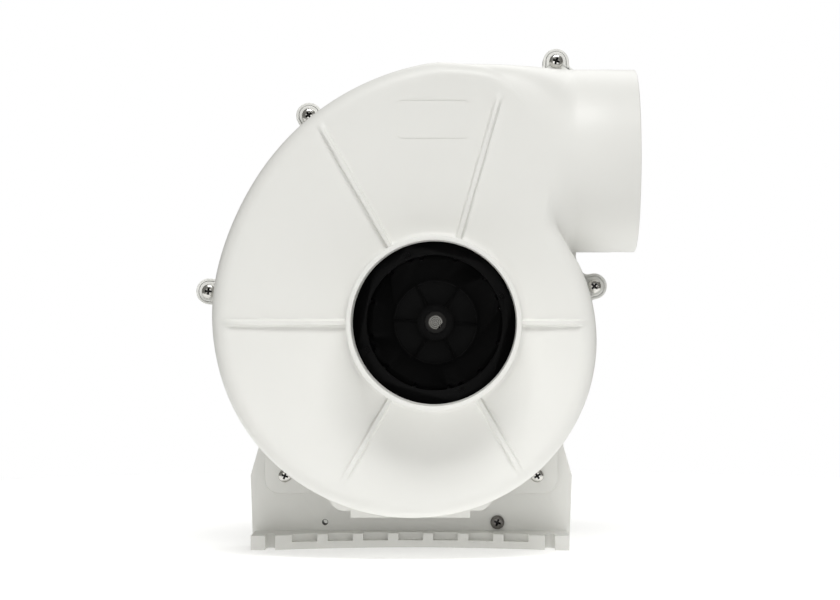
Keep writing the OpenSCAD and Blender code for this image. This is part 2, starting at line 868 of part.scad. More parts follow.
// Solid cup between two depths with a rounded back edge
module cover_cup(r, from, back, edge) {
    length = back - from;
    along(from) rotate_extrude() polygon(concat([[0, 0], [r, 0]],
        [for (a = [0:15:90]) [r - edge + edge*cos(a), length - edge + edge*sin(a)]],
        [[0, length]]));
}

module motor_cover() {
    color(white) place() difference() {
        union() {
            cover_cup(cover_r, plate_back, cover_back, 8);
            cover_screw_spots() rod(5.5, plate_back, plate_back + 4);
            for (a = [45:90:315]) rotate([0, -a, 0])
                translate([cover_r - 3, plate_back + 0.3, -5]) cube([8.5, 3.4, 10]);
            for (a = [0:30:330]) rotate([0, -a, 0])
                translate([cover_r - 2, plate_back + 0.3, -1])
                    cube([3.2, cover_back - plate_back - 12, 2]);
            translate([0, 0, grommet_z]) rod(8, cover_back - 1, grommet_back);
        }
        cover_cup(cover_r - cover_t, plate_back - 1, cover_back - cover_t, 5.5);
        cover_screw_spots() rod(shank_d/2 + 0.2, plate_back - 1, plate_back + 5);
        translate([0, 0, grommet_z]) rod(5, cover_back - 4, grommet_back + 1);
    }
}

module cover_screws() {
    color(steel) place() cover_screw_spots()
        mirror([0, 1, 0]) translate([0, -plate_back - 4, 0]) pan_screw(8.5, head = 7);
}

// Rubber grommet in the lead's hole
module lead_grommet() {
    color(rubber) place() translate([0, 0, grommet_z]) difference() {
        union() {
            rod(4.95, cover_back - 3.5, grommet_back + 0.5);
            rod(6.6, grommet_back, grommet_back + 2);
        }
        rod(2.8, cover_back - 4, grommet_back + 3);
    }
}

front_cover();
rear_casing();
casing_screws();
mounting_bracket();
flange_screws();
bracket_screw();
motor_gasket();
motor_screws();
motor_can();
front_end_bell();
rear_end_bell();
through_bolts();
field_magnets();
brush_card();
brush_holders();
terminal_tabs();
upper_brush();
lower_brush();
upper_brush_spring();
lower_brush_spring();
front_bearing_outer_ring();
front_bearing_inner_ring();
front_bearing_balls();
front_bearing_cage();
rear_bearing_outer_ring();
rear_bearing_inner_ring();
rear_bearing_balls();
rear_bearing_cage();
wave_washer();
shaft();
shaft_spacer();
armature_core();
armature_windings();
commutator_hub();
commutator_bars();
wheel_hub_insert();
fan_wheel();
wheel_shroud();
shroud_rivets();
hub_grub_screw();
motor_cover();
cover_screws();
lead_grommet();
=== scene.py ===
"""Looks for a flange-mounted centrifugal blower: smooth casing halves, softened mouldings and
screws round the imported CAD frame. Lengths in the shape functions are millimetres from the shaft
axis (x, z) and the casing's parting plane (depth, + to the rear)."""

import json
from math import atan2, cos, degrees, floor, hypot, pi, radians, sin, sqrt

import bmesh
import bpy
from mathutils import Matrix, Vector


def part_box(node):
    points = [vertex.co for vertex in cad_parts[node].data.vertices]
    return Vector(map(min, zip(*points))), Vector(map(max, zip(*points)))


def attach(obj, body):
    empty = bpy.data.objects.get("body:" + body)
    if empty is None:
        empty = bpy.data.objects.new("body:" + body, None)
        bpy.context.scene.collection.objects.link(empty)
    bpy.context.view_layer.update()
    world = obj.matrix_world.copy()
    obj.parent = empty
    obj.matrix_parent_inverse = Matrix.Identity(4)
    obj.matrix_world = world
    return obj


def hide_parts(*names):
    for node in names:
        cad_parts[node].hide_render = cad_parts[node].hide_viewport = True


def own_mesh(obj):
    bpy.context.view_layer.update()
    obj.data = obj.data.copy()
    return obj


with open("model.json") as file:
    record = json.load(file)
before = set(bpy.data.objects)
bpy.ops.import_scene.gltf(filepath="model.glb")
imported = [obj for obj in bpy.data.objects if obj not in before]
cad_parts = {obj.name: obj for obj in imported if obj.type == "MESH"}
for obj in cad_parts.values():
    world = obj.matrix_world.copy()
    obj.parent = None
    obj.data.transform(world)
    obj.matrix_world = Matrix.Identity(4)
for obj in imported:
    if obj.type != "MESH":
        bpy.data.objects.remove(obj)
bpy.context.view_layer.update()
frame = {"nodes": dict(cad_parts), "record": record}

# ---------- Sizes, in millimetres and mostly as in the part's source ----------
FACE_DEPTH = 50.0
BACK_DEPTH = 48.8
WALL = 2.8
SHOULDER_R = 9.0
INLET_R = 46.5
INLET_OUT = 23.5
OUTLET_R = 50.8
OUTLET_Z = 89.8
OUTLET_END = 111.1
OUTLET_ROOT = 78.0
DUCT_R = OUTLET_R - 0.03  # almost the spigot's, so that the duct runs into it without a step
DUCT_START = 15.0
TOP_Z = OUTLET_Z + DUCT_R
TONGUE_ANGLE = 27.0
TONGUE_R = 83.5
TONGUE_X = 73.0
TONGUE_EASE_START = 35.0
TONGUE_EASE = 45.0
CREASE_FILLET = 4.0
# Outside radii of the scroll, clockwise from SCROLL_START degrees above +X.
SCROLL_START = 30
SCROLL_STEP = 30.0
SCROLL_R = (83.2, 87, 92.5, 98.8, 104.6, 111, 117, 119.9, 122, 130, 140.6, 153)
LIP = 1.5
LIP_GAP = 0.35  # wider than in the part's source, so that it shows as a dark line
LIP_DEPTH = 2.5
LIP_BACK = 4.0
# Each lug's x, z, bearing towards the casing, and reach to it.
LUGS = ((67.2, 145, -90, 4.9), (-70.1, 115, -58.6, 6.0), (-125.7, 17.3, -7.8, 8.2),
        (88.3, 20.1, 192.8, 5.1))
LUG_R = 5.5
LUG_FLARE = 3.2
LUG_BORE_R = 2.1
LUG_RIM_R = 7.2
LUG_RIM_FLARE = 4.0
LUG_POCKET_FLARE = 2.8
LUG_THREAD_R = 1.95
LUG_FRONT = 4.0
LUG_BACK = 12.0
LUG_CHAMFER = 0.5
LUG_RIM_CHAMFER = 0.4
# Each rib's angle, where it ends, and how far before that it starts to fade.
TOP_RIB = 74
FACE_RIBS = ((0, 82.5, 7), (TOP_RIB, 128, 7), (120, 123.5, 7), (180, 114.5, 7), (240, 101, 14),
             (300, 96, 14))
RIB_HEIGHT = 2.4
RIB_FALL = 0.4
RIB_TIP = 12.0
RIB_HALF_WIDTH = 1.05
RIB_FILLET = 1.0
ROOT_R = 3.0
TUBE_LINE = 98.0
# Each box is its left, right, low and high sides and its corners' radius.
LABEL_BOX = (-20, 19, 99, 120, 3)
LABEL_RIDGE = 0.6
SHAFT_HOLE_R = 14.0
FLANGE_FRONT = 46.3
FLANGE_BOX = (-99.1, 70.3, -99, 67.2, 8.5)
FLANGE_EDGE = 0.5
PLATE_FRONT = 49.0
PLATE_BACK = 54.0
HEAD_R = 3.8
SHANK_R = 1.9
FLANGE_HALF_PITCH = 72.7
FLANGE_LOW_ROW = 40.1
FLANGE_HIGH_ROW = FLANGE_LOW_ROW + 2 * FLANGE_HALF_PITCH
FLANGE_COLUMNS = (-FLANGE_HALF_PITCH, FLANGE_HALF_PITCH)
COVER_SCREW_RING = 49.0
COVER_EAR = 4.0
FOOT_HOLE_X = 49.8
FOOT_HOLE_Z = 13.0
# Lining of the plate's small hole, drawn near-black as painted shade.
HOLE_LINING_R = 1.75
HOLE_LINING_BORE_R = 1.5

# ---------- Places, from the frame ----------
MM = 0.001
shaft_low, shaft_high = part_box("shaft")
SHAFT_X = (shaft_low.x + shaft_high.x) / 2 / MM
SHAFT_Z = (shaft_low.z + shaft_high.z) / 2 / MM
PARTING_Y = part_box("front_cover")[0].y / MM + FACE_DEPTH + INLET_OUT


def spot(x, depth, z):
    """A point given from the shaft axis and parting plane, in the frame's metres."""
    return Vector(((SHAFT_X + x) * MM, (PARTING_Y + depth) * MM, (SHAFT_Z + z) * MM))


def base_spot(x, depth, z):
    """A point given from the middle of the base, at a depth from the parting plane."""
    return spot(x - SHAFT_X, depth, z - SHAFT_Z)


# ---------- Materials ----------


def new_material(name):
    material = bpy.data.materials.new(name)
    material.use_nodes = True
    tree = material.node_tree
    return material, tree, tree.nodes["Principled BSDF"]


def map_to_object(tree, texture, scale=(1, 1, 1), location=(0, 0, 0)):
    """Feeds a texture with object coordinates, whose unit is a metre."""
    coords = tree.nodes.new("ShaderNodeTexCoord")
    mapping = tree.nodes.new("ShaderNodeMapping")
    mapping.inputs["Scale"].default_value = scale
    mapping.inputs["Location"].default_value = location
    tree.links.new(coords.outputs["Object"], mapping.inputs["Vector"])
    tree.links.new(mapping.outputs["Vector"], texture.inputs["Vector"])


def noise(tree, scale, detail, grain=(1, 1, 1)):
    """Noise drawn out along the directions where grain is low."""
    texture = tree.nodes.new("ShaderNodeTexNoise")
    texture.inputs["Scale"].default_value = scale
    texture.inputs["Detail"].default_value = detail
    map_to_object(tree, texture, grain)
    return texture.outputs["Fac"]


def ramp(tree, source, low, high, start=0.3, end=0.7):
    """Turns a texture's value into a range of colours or greys."""
    node = tree.nodes.new("ShaderNodeValToRGB")
    node.color_ramp.elements[0].position = start
    node.color_ramp.elements[0].color = (*low, 1)
    node.color_ramp.elements[1].position = end
    node.color_ramp.elements[1].color = (*high, 1)
    tree.links.new(source, node.inputs["Fac"])
    return node.outputs["Color"]


def grey(value):
    return (value, value, value)


def bump(tree, shader, height, strength, distance):
    """Relief from a texture, its distance in metres."""
    node = tree.nodes.new("ShaderNodeBump")
    node.inputs["Strength"].default_value = strength
    node.inputs["Distance"].default_value = distance
    tree.links.new(height, node.inputs["Height"])
    tree.links.new(node.outputs["Normal"], shader.inputs["Normal"])


def tinted(colour, factor):
    return tuple(min(c * factor, 1) for c in colour)


def moulded_plastic(name, colour, rough, grain=2600, relief=0.08, gloss_level=0.5):
    """Injection-moulded plastic: faint flow marks, uneven gloss and a fine surface grain."""
    material, tree, shader = new_material(name)
    flow = noise(tree, 9, 1)
    tree.links.new(ramp(tree, flow, tinted(colour, 0.985), tinted(colour, 1.01)),
                   shader.inputs["Base Color"])
    gloss = noise(tree, 40, 2)
    tree.links.new(ramp(tree, gloss, grey(rough - 0.02), grey(rough + 0.03)),
                   shader.inputs["Roughness"])
    shader.inputs["IOR"].default_value = 1.49
    shader.inputs["Specular IOR Level"].default_value = gloss_level
    bump(tree, shader, noise(tree, grain, 2), relief, 0.0002)
    return material


def metal(name, colour, rough, grain=(1, 1, 1), relief=0.1):
    """Bare or plated metal with a fine grain."""
    material, tree, shader = new_material(name)
    shader.inputs["Metallic"].default_value = 1.0
    speckle = noise(tree, 1800, 3, grain)
    tree.links.new(ramp(tree, speckle, tinted(colour, 0.86), tinted(colour, 1.08)),
                   shader.inputs["Base Color"])
    tree.links.new(ramp(tree, speckle, grey(rough - 0.05), grey(rough + 0.1)),
                   shader.inputs["Roughness"])
    bump(tree, shader, speckle, relief, 0.0001)
    return material


def turned_steel():
    """Ground shaft steel with the faint rings of a turned end face."""
    material, tree, shader = new_material("turned_steel")
    shader.inputs["Metallic"].default_value = 1.0
    rings = tree.nodes.new("ShaderNodeTexWave")
    rings.wave_type = "RINGS"
    rings.rings_direction = "Y"
    rings.inputs["Scale"].default_value = 330
    rings.inputs["Distortion"].default_value = 0.6
    map_to_object(tree, rings, location=-spot(0, 0, 0))
    tree.links.new(ramp(tree, rings.outputs["Fac"], (0.1, 0.098, 0.09), (0.3, 0.295, 0.28)),
                   shader.inputs["Base Color"])
    tree.links.new(ramp(tree, rings.outputs["Fac"], grey(0.22), grey(0.4), 0.2, 0.8),
                   shader.inputs["Roughness"])
    bump(tree, shader, rings.outputs["Fac"], 0.35, 0.0002)
    return material


def soft_rubber():
    """Dull rubber with a little dust."""
    material, tree, shader = new_material("rubber")
    dust = noise(tree, 240, 5)
    tree.links.new(ramp(tree, dust, (0.014, 0.014, 0.014), (0.03, 0.03, 0.029)),
                   shader.inputs["Base Color"])
    shader.inputs["Roughness"].default_value = 0.7
    bump(tree, shader, dust, 0.15, 0.0003)
    return material


MATERIALS = {
    "white_plastic": moulded_plastic("white_plastic", (0.80, 0.798, 0.768), 0.46),
    "black_plastic": moulded_plastic("black_plastic", (0.002, 0.002, 0.0022), 0.42, 2200, 0.2, 0.09),
    "phenolic": moulded_plastic("phenolic", (0.2, 0.11, 0.055), 0.5, 900, 0.25),
    "carbon": moulded_plastic("carbon", (0.05, 0.05, 0.055), 0.55, 1500, 0.3),
    "ferrite": moulded_plastic("ferrite", (0.075, 0.077, 0.082), 0.62, 700, 0.35),
    "stainless": metal("stainless", (0.66, 0.65, 0.62), 0.2),
    "dark_steel": metal("dark_steel", (0.20, 0.19, 0.18), 0.3),
    "zinc_plate": metal("zinc_plate", (0.6, 0.61, 0.62), 0.32, (1, 0.1, 1)),
    "die_cast": metal("die_cast", (0.56, 0.56, 0.57), 0.5, relief=0.3),
    "bearing_steel": turned_steel(),
    "brass": metal("brass", (0.72, 0.55, 0.26), 0.3),
    "copper": metal("copper", (0.70, 0.33, 0.18), 0.3, (1, 0.2, 1)),
    "rubber": soft_rubber(),
}

slot_of = {s["node"]: s["material_slot"] for s in frame["record"]["subparts"]}
# Near-black steel: painted shade in the screws' cross recesses and on the lining of the plate's small
# hole. The wheel's hub insert is drawn in it too.
painted_shade_black = metal("painted_shade_black_steel", (0.035, 0.034, 0.033), 0.45)
for node, piece in frame["nodes"].items():
    for holder in piece.material_slots:
        holder.material = MATERIALS[slot_of[node]]
for holder in frame["nodes"]["wheel_hub_insert"].material_slots:
    holder.material = painted_shade_black

# ---------- Mesh helpers ----------
MERGE = 2e-6  # metres


def add_piece(name, bm, body, slot, replaced=(), sharp=35):
    """Turns a bmesh into a piece with smooth shading, a material and its place in the frame."""
    mesh = bpy.data.meshes.new(name)
    bmesh.ops.recalc_face_normals(bm, faces=bm.faces)
    bm.to_mesh(mesh)
    bm.free()
    mesh.shade_smooth()
    mesh.set_sharp_from_angle(angle=radians(sharp))
    piece = bpy.data.objects.new(name, mesh)
    bpy.context.scene.collection.objects.link(piece)
    mesh.materials.append(MATERIALS[slot])
    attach(piece, body)
    if replaced:
        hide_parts(*replaced)
    return piece


def loft(bm, rings, loop=True):
    """Joins rings that have the same number of points. loop joins the last to the first, and
    otherwise both ends are closed by a flat face."""
    rows = [[bm.verts.new(p) for p in ring] for ring in rings]
    count = len(rows[0])
    for a, b in zip(rows, rows[1:] + (rows[:1] if loop else [])):
        for i in range(count):
            j = (i + 1) % count
            bm.faces.new((a[i], a[j], b[j], b[i]))
    if not loop:
        bm.faces.new(rows[0])
        bm.faces.new(rows[-1][::-1])
    return rows


def cleaned(bm):
    """Merges points that coincide and turns the faces outwards."""
    bmesh.ops.remove_doubles(bm, verts=bm.verts, dist=MERGE)
    bmesh.ops.dissolve_degenerate(bm, edges=bm.edges, dist=MERGE)
    bmesh.ops.recalc_face_normals(bm, faces=bm.faces)
    return bm


def scratch(bm):
    """Temporary object that holds a bmesh."""
    mesh = bpy.data.meshes.new("scratch")
    bm.to_mesh(mesh)
    bm.free()
    piece = bpy.data.objects.new("scratch", mesh)
    bpy.context.scene.collection.objects.link(piece)
    return piece


def evaluated(piece, helpers=()):
    """Mesh of a temporary object with its modifiers applied. The objects are removed."""
    graph = bpy.context.evaluated_depsgraph_get()
    mesh = bpy.data.meshes.new_from_object(piece.evaluated_get(graph))
    for temporary in [piece, *helpers]:
        bpy.data.objects.remove(temporary)
    return mesh


# ---------- Scroll shape ----------
# Angular offsets of the spokes across a rib, and how many points each stretch of a spoke has.
FINE = (-3.4, -2.6, -2.0, -1.5, -1.1, -0.75, -0.4, 0, 0.4, 0.75, 1.1, 1.5, 2.0, 2.6, 3.4)
RIM_STEPS, WALL_STEPS, EDGE_STEPS, FACE_STEPS, LINING_STEPS = 12, 5, 8, 26, 10
SPOKE_STEP = 1.5
RIB_CLEAR = 4.0
HAIR = 0.01


def smooth(t):
    """Eases from 0 to 1."""
    s = min(max(t, 0.0), 1.0)
    return s * s * (3 - 2 * s)


def spline(a, b, c, d, t):
    """Smooth curve from b to c, with a and d as the values beyond them."""
    return 0.5 * (2 * b + (c - a) * t + (2 * a - 5 * b + 4 * c - d) * t * t
                  + (3 * b - a - 3 * c + d) * t ** 3)


def scroll_radius(turn):
    """Outside radius of the scroll, turn degrees past its start."""
    i = min(int(floor(turn / SCROLL_STEP)), len(SCROLL_R) - 3)
    before = SCROLL_R[i - 1] if i else 2 * SCROLL_R[0] - SCROLL_R[1]
    return spline(before, SCROLL_R[i], SCROLL_R[i + 1], SCROLL_R[i + 2], turn / SCROLL_STEP - i)


def disc_radius(angle):
    """Where the scroll's own rounded edge lies, which runs on inside the duct."""
    if angle < TONGUE_ANGLE:
        return scroll_radius(SCROLL_START - angle)
    return TONGUE_R + (TOP_Z - TONGUE_R) * smooth((angle - TONGUE_EASE_START) / TONGUE_EASE)


def soft_max(a, b, k):
    """The larger of two heights, with a fillet of size k where they meet."""
    h = max(k - abs(a - b), 0)
    return max(a, b) + h * h / (4 * k)


def edge_height(inside, r, depth):
    """Height of a rounded shoulder of radius r, at a distance inside its outer edge."""
    return depth - r + sqrt(max(r * r - max(r - inside, 0) ** 2, 0))


def duct_height(x, z, r, depth):
    """Height of the duct, which turns from a rounded box into the round outlet."""
    t = smooth((x - DUCT_START) / (OUTLET_ROOT - DUCT_START))
    n = 9 - 7 * t
    v = min(abs(z - OUTLET_Z) / r, 1)
    return (depth + (r - depth) * t * t) * (1 - v ** n) ** (1 / n)


def casing_height(angle, radius, depth, inset):
    """Height of the casing over the parting plane, where the scroll and the duct meet softly."""
    inside = disc_radius(angle) - inset - radius
    disc = edge_height(inside, SHOULDER_R - inset, depth - inset) if inside > -1e-6 else 0
    duct = 0
    if TONGUE_ANGLE - 1 < angle < 90:
        a = radians(angle)
        duct = duct_height(radius * cos(a), radius * sin(a), DUCT_R - inset, depth - inset)
    return min(soft_max(disc, duct, CREASE_FILLET), max(depth - inset, duct))


def rib_height(angle, radius):
    """How far the ribs stand out of the front face at a point, with filleted feet."""
    tallest = 0.0
    for rib_angle, length, fade in FACE_RIBS:
        off = (angle - rib_angle + 180) % 360 - 180
        if abs(off) > 12:
            continue
        across = abs(radius * sin(radians(off)))
        along = radius * cos(radians(off))
        run = length - RIB_TIP - INLET_R
        top = RIB_HEIGHT - RIB_FALL * min((along - INLET_R) / run, 1)
        top *= 1 - smooth((along - (length - fade)) / fade)
        tallest = max(tallest, top * (1 - smooth((across - RIB_HALF_WIDTH) / RIB_FILLET)))
    return tallest


def spoke_plan():
    """Spokes once round the casing, as their kind and the angle, or turn of the window, they need."""
    angles = {90 + SPOKE_STEP * i for i in range(1, 196)}
    for rib, _, _ in FACE_RIBS:
        centre = rib if rib > 90 else rib + 360
        if rib != TOP_RIB:
            angles = {a for a in angles if abs(a - centre) > RIB_CLEAR} | {centre + f for f in FINE}
    top = {degrees(atan2(TOP_Z, x)) for x in range(74, -1, -3)}
    top = {a for a in top if abs(a - TOP_RIB) > RIB_CLEAR} | {TOP_RIB + f for f in FINE}
    return ([("scroll", a - 360) for a in sorted(angles)]
            + [("window", t) for t in range(-90, 91, 3)] + [("top", a) for a in sorted(top)])


def spoke(kind, value, inset, window_x):
    """Angle and rim radius of a spoke, with the walls moved in by inset."""
    if kind == "scroll":
        return value, scroll_radius(SCROLL_START - value) - inset
    r = DUCT_R - inset
    if kind == "top":
        return value, (OUTLET_Z + r) / sin(radians(value))
    z = OUTLET_Z + r * sin(radians(value))
    return degrees(atan2(z, window_x)), hypot(z, window_x)


def section(kind, angle, rim, depth, inset, inner, base=0.0, ribs=False, fine=True):
    """Points (radius, height) of one skin along a spoke, from its rim in to the radius inner."""
    disc = min(disc_radius(angle) - inset, rim)
    edge = SHOULDER_R - inset
    ducted = kind != "scroll"
    low = max(casing_height(angle, disc + HAIR, depth, inset), base) if ducted else base
    points = []
    for i in range(RIM_STEPS):
        r = rim + (disc - rim) * (i / RIM_STEPS) ** 1.8
        h = casing_height(angle, r, depth, inset) if ducted and r > disc + HAIR else low
        if i == 0 and kind != "window":
            h = base
        points.append((r, max(h, base)))
    top = max(depth - inset - edge, low)
    for i in range(WALL_STEPS):
        points.append((disc, low + (top - low) * i / (WALL_STEPS - 1)))
    for i in range(1, EDGE_STEPS + 1):
        r = disc - edge + edge * cos(radians(90 * i / EDGE_STEPS))
        h = max(casing_height(angle, r, depth, inset), top)
        rib = rib_height(angle, r) if ribs else 0
        points.append((r, h + rib + max(depth - h, 0) * min(rib / 2, 1)))
    steps = FACE_STEPS if fine else LINING_STEPS
    for i in range(1, steps + 1):
        r = disc - edge + (inner - disc + edge) * i / steps
        h = casing_height(angle, r, depth, inset)
        points.append((r, h + (rib_height(angle, r) if ribs else 0)))
    return points


def on_spoke(angle, side, points):
    """Places (radius, height) points along a spoke."""
    a = radians(angle)
    return [spot(r * cos(a), side * h, r * sin(a)) for r, h in points]


def shell(depth, side, window_x, hole_r, hole_profile, base, lip, ribs):
    """One half of the casing as a closed skin: side -1 faces the inlet and 1 the motor. hole_r
    is where the outer skin and the lining end, and the lip is left out round the outlet's window."""
    rings = []
    for kind, value in spoke_plan():
        low = base if kind != "window" else 0.0
        angle, rim = spoke(kind, value, 0, window_x)
        outside = section(kind, angle, rim, depth, 0, hole_r[0], low, ribs) + hole_profile(angle)
        edge = [(rim + r, h) for r, h in lip] if kind != "window" else outside[:1] * len(lip)
        in_angle, in_rim = spoke(kind, value, WALL, window_x)
        lining = section(kind, in_angle, in_rim, depth, WALL, hole_r[1], fine=False)[::-1]
        rings.append(on_spoke(angle, side, outside) + on_spoke(in_angle, side, lining)
                     + on_spoke(angle, side, edge))
    bm = bmesh.new()
    loft(bm, rings)
    return cleaned(bm)


def ease_crease(bm, side):
    """Softens the hollow where the scroll's edge runs up into the duct."""
    low, high = spot(48, 0, 26), spot(77, 0, 86)
    near = [v for v in bm.verts if low.x < v.co.x < high.x and low.z < v.co.z < high.z
            and side * (v.co.y - low.y) > 3 * MM]
    for _ in range(6):
        bmesh.ops.smooth_vert(bm, verts=near, factor=0.5, use_axis_x=True, use_axis_y=True,
                              use_axis_z=True)


def ring_around(profile, place, steps):
    """Closed ring swept from a profile of (radius, station) points."""
    bm = bmesh.new()
    rings = [[place(r, 2 * pi * i / steps, s) for r, s in profile] for i in range(steps)]
    loft(bm, rings)
    return cleaned(bm)


def about_y(x, z):
    """Places a ring's points round an axis along Y."""
    return lambda r, a, s: spot(x + r * cos(a), s, z + r * sin(a))


def about_x(z):
    """Places a ring's points round an axis along X in the parting plane."""
    return lambda r, a, s: spot(s, r * cos(a), z + r * sin(a))


def arch(r, reach, flare, turn, x, z, steps=10):
    """Outline of a lug: a half circle, straight sides and flared feet towards the casing."""
    half = [(-r * cos(radians(90 * i / steps)), r * sin(radians(90 * i / steps)))
            for i in range(steps + 1)]
    half += [(reach - flare + flare * sin(radians(90 * i / steps)),
              r + flare - flare * cos(radians(90 * i / steps))) for i in range(steps + 1)]
    points = half + [(u, -v) for u, v in half[::-1][:-1]]
    a = radians(turn)
    return [(x + u * cos(a) - v * sin(a), z + u * sin(a) + v * cos(a)) for u, v in points]


def circle_like(outline, x, z, r):
    """Points of a circle at the same bearings as an outline's points."""
    bearings = [atan2(pz - z, px - x) for px, pz in outline]
    return [(x + r * cos(b), z + r * sin(b)) for b in bearings]


def level(outline, depth):
    """Outline's points at one depth."""
    return [spot(x, depth, z) for x, z in outline]


def shrunk(outline, x, z, by):
    """Outline moved towards a point by a fixed distance."""
    out = []
    for px, pz in outline:
        d = hypot(px - x, pz - z)
        out.append((px - (px - x) * by / d, pz - (pz - z) * by / d))
    return out


def joined(bm, parts):
    """Adds closed solids that sink into a mesh, as further shells of it."""
    for part in parts:
        bmesh.ops.recalc_face_normals(part, faces=part.faces)
        mesh = bpy.data.meshes.new("part")
        part.to_mesh(mesh)
        part.free()
        bm.from_mesh(mesh)
        bpy.data.meshes.remove(mesh)
    return bm


def front_lug(x, z, turn, reach):
    """Lug of the front half, which the screw's head sits on."""
    outline = arch(LUG_R, reach, LUG_FLARE, turn, x, z)
    edge = shrunk(outline, x, z, LUG_CHAMFER)
    bore = circle_like(outline, x, z, LUG_BORE_R)
    bm = bmesh.new()
    loft(bm, [level(outline, 0), level(outline, LUG_CHAMFER - LUG_FRONT), level(edge, -LUG_FRONT),
              level(bore, -LUG_FRONT), level(bore, 0)])
    return bm


def rear_lug(x, z, turn, reach):
    """Lug of the rear half, with a rim round the front lug."""
    outline = arch(LUG_RIM_R, reach, LUG_RIM_FLARE, turn, x, z)
    inner = arch(LUG_R + LIP_GAP, reach, LUG_POCKET_FLARE, turn, x, z)
    bore = circle_like(outline, x, z, LUG_THREAD_R)
    edge = shrunk(outline, x, z, LUG_RIM_CHAMFER)
    bm = bmesh.new()
    loft(bm, [level(edge, LUG_BACK), level(outline, LUG_BACK - LUG_RIM_CHAMFER),
              level(outline, LUG_RIM_CHAMFER - LIP_DEPTH), level(edge, -LIP_DEPTH),
              level(inner, -LIP_DEPTH), level(inner, 0), level(bore, 0), level(bore, LUG_BACK)])
    return bm


def rim_outline(grow, start, stop):
    """Stretch of the scroll's outline between two angles, moved outwards by grow."""
    spots = []
    for i in range(round((stop - start) / SPOKE_STEP) + 1):
        a = start + SPOKE_STEP * i
        r = scroll_radius(SCROLL_START + 360 - a) + grow
        spots.append((r * cos(radians(a)), r * sin(radians(a))))
    return spots


def s_curve(start, end):
    """Points of a curve that is level at both ends."""
    (x0, z0), (x1, z1) = start, end
    return [(x0 + (x1 - x0) * t / 180, z0 + (z1 - z0) * (1 - cos(radians(t))) / 2)
            for t in range(0, 181, 15)]


def skirt():
    """Flat skirt under the scroll, its sides eased in by S curves, with a tab below."""
    low, tab = -104.6, -108.5
    outline = (s_curve((-66, -94), (-52, low)) + [(-47, low), (-47, tab), (19.4, tab), (19.4, low)]
               + s_curve((25, low), (37, -96)) + rim_outline(-1.4, 232.5, 292.5)[::-1])
    bm = bmesh.new()
    loft(bm, [level(outline, 0), level(outline, -3)], loop=False)
    return bm


def rounded_frame(box, inset=0.0):
    """Outline of a rectangle with rounded corners, moved in by inset."""
    left, right, low, high, r = box
    corner = r - inset
    spots = []
    for x, z, start in ((right - r, high - r, 0), (left + r, high - r, 90),
                        (left + r, low + r, 180), (right - r, low + r, 270)):
        spots += [(x + corner * cos(radians(start + t)), z + corner * sin(radians(start + t)))
                  for t in range(0, 91, 10)]
    return spots


def flange():
    """Square flange on the back of the casing, with a softened front edge."""
    outline = rounded_frame(FLANGE_BOX)
    edge = rounded_frame(FLANGE_BOX, FLANGE_EDGE)
    hole = circle_like(outline, 0, 0, SHAFT_HOLE_R + 0.2)
    bm = bmesh.new()
    loft(bm, [level(outline, PLATE_FRONT), level(outline, FLANGE_FRONT + FLANGE_EDGE),
              level(edge, FLANGE_FRONT), level(hole, FLANGE_FRONT), level(hole, PLATE_FRONT)])
    return bm


def tongue(side):
    """Wall under the duct, between the scroll's small end and the outlet's root."""
    bm = bmesh.new()
    rings = []
    for turn in range(-90, -33, 3):
        a = radians(turn)
        rings.append([spot(x, side * r * cos(a), OUTLET_Z + r * sin(a)) for x, r in
                      ((TONGUE_X, DUCT_R - 0.3), (OUTLET_ROOT + 0.4, DUCT_R - 0.05),
                       (OUTLET_ROOT + 0.4, OUTLET_R - WALL), (TONGUE_X, OUTLET_R - WALL))])
    loft(bm, rings, loop=False)
    return bm


def outlet_tube():
    """Outlet spigot, with a fine line round it and softened rims."""
    bore = OUTLET_R - WALL
    outer = OUTLET_R - 0.12
    return ring_around([(OUTLET_R, OUTLET_ROOT), (OUTLET_R, TUBE_LINE), (outer, TUBE_LINE + 0.3),
                        (outer, OUTLET_END - 0.8), (OUTLET_R - 0.4, OUTLET_END - 0.2),
                        (OUTLET_R - 0.9, OUTLET_END), (bore + 0.7, OUTLET_END),
                        (bore + 0.2, OUTLET_END - 0.3), (bore, OUTLET_END - 1),
                        (bore, OUTLET_ROOT)], about_x(OUTLET_Z), 160)


def label_outline():
    """Fine ridge on the face round a blank field, which sinks a little into the face."""
    outer = rounded_frame(LABEL_BOX)
    inner = rounded_frame(LABEL_BOX, LABEL_RIDGE)
    foot, top = 0.2 - FACE_DEPTH, -0.22 - FACE_DEPTH
    bm = bmesh.new()
    loft(bm, [level(outer, foot), level(outer, top), level(inner, top), level(inner, foot)])
    return bm


# ---------- Casing ----------


def spigot_profile(angle):
    """Inlet spigot from the foot of its root fillet over its lip and down its bore."""
    points = []
    for i in range(1, 5):
        t = radians(90 * i / 4)
        h = FACE_DEPTH + ROOT_R - ROOT_R * cos(t)
        r = INLET_R + ROOT_R - ROOT_R * sin(t)
        points.append((r, max(h, FACE_DEPTH + rib_height(angle, r))))
    tip = FACE_DEPTH + INLET_OUT
    bore = INLET_R - WALL
    points += [(INLET_R, tip - 8), (INLET_R, tip - 0.7), (INLET_R - 0.2, tip - 0.2),
               (INLET_R - 0.7, tip), (bore + 0.6, tip), (bore + 0.15, tip - 0.2),
               (bore, tip - 0.7), (bore, tip - 12), (bore, FACE_DEPTH - WALL + 0.8)]
    return points


def make_front_cover():
    """Front half with its spigots, ribs, skirt and lugs."""
    bm = shell(FACE_DEPTH, side=-1, window_x=OUTLET_ROOT + 0.5,
               hole_r=(INLET_R + ROOT_R, INLET_R - WALL + 1), hole_profile=spigot_profile,
               base=0.0, lip=[(0, 0)], ribs=True)
    ease_crease(bm, -1)
    parts = [outlet_tube(), skirt(), tongue(-1), label_outline()]
    bm = joined(bm, parts + [front_lug(*lug) for lug in LUGS])
    add_piece("front_cover_shell", bm, "casing", "white_plastic", ["front_cover"])


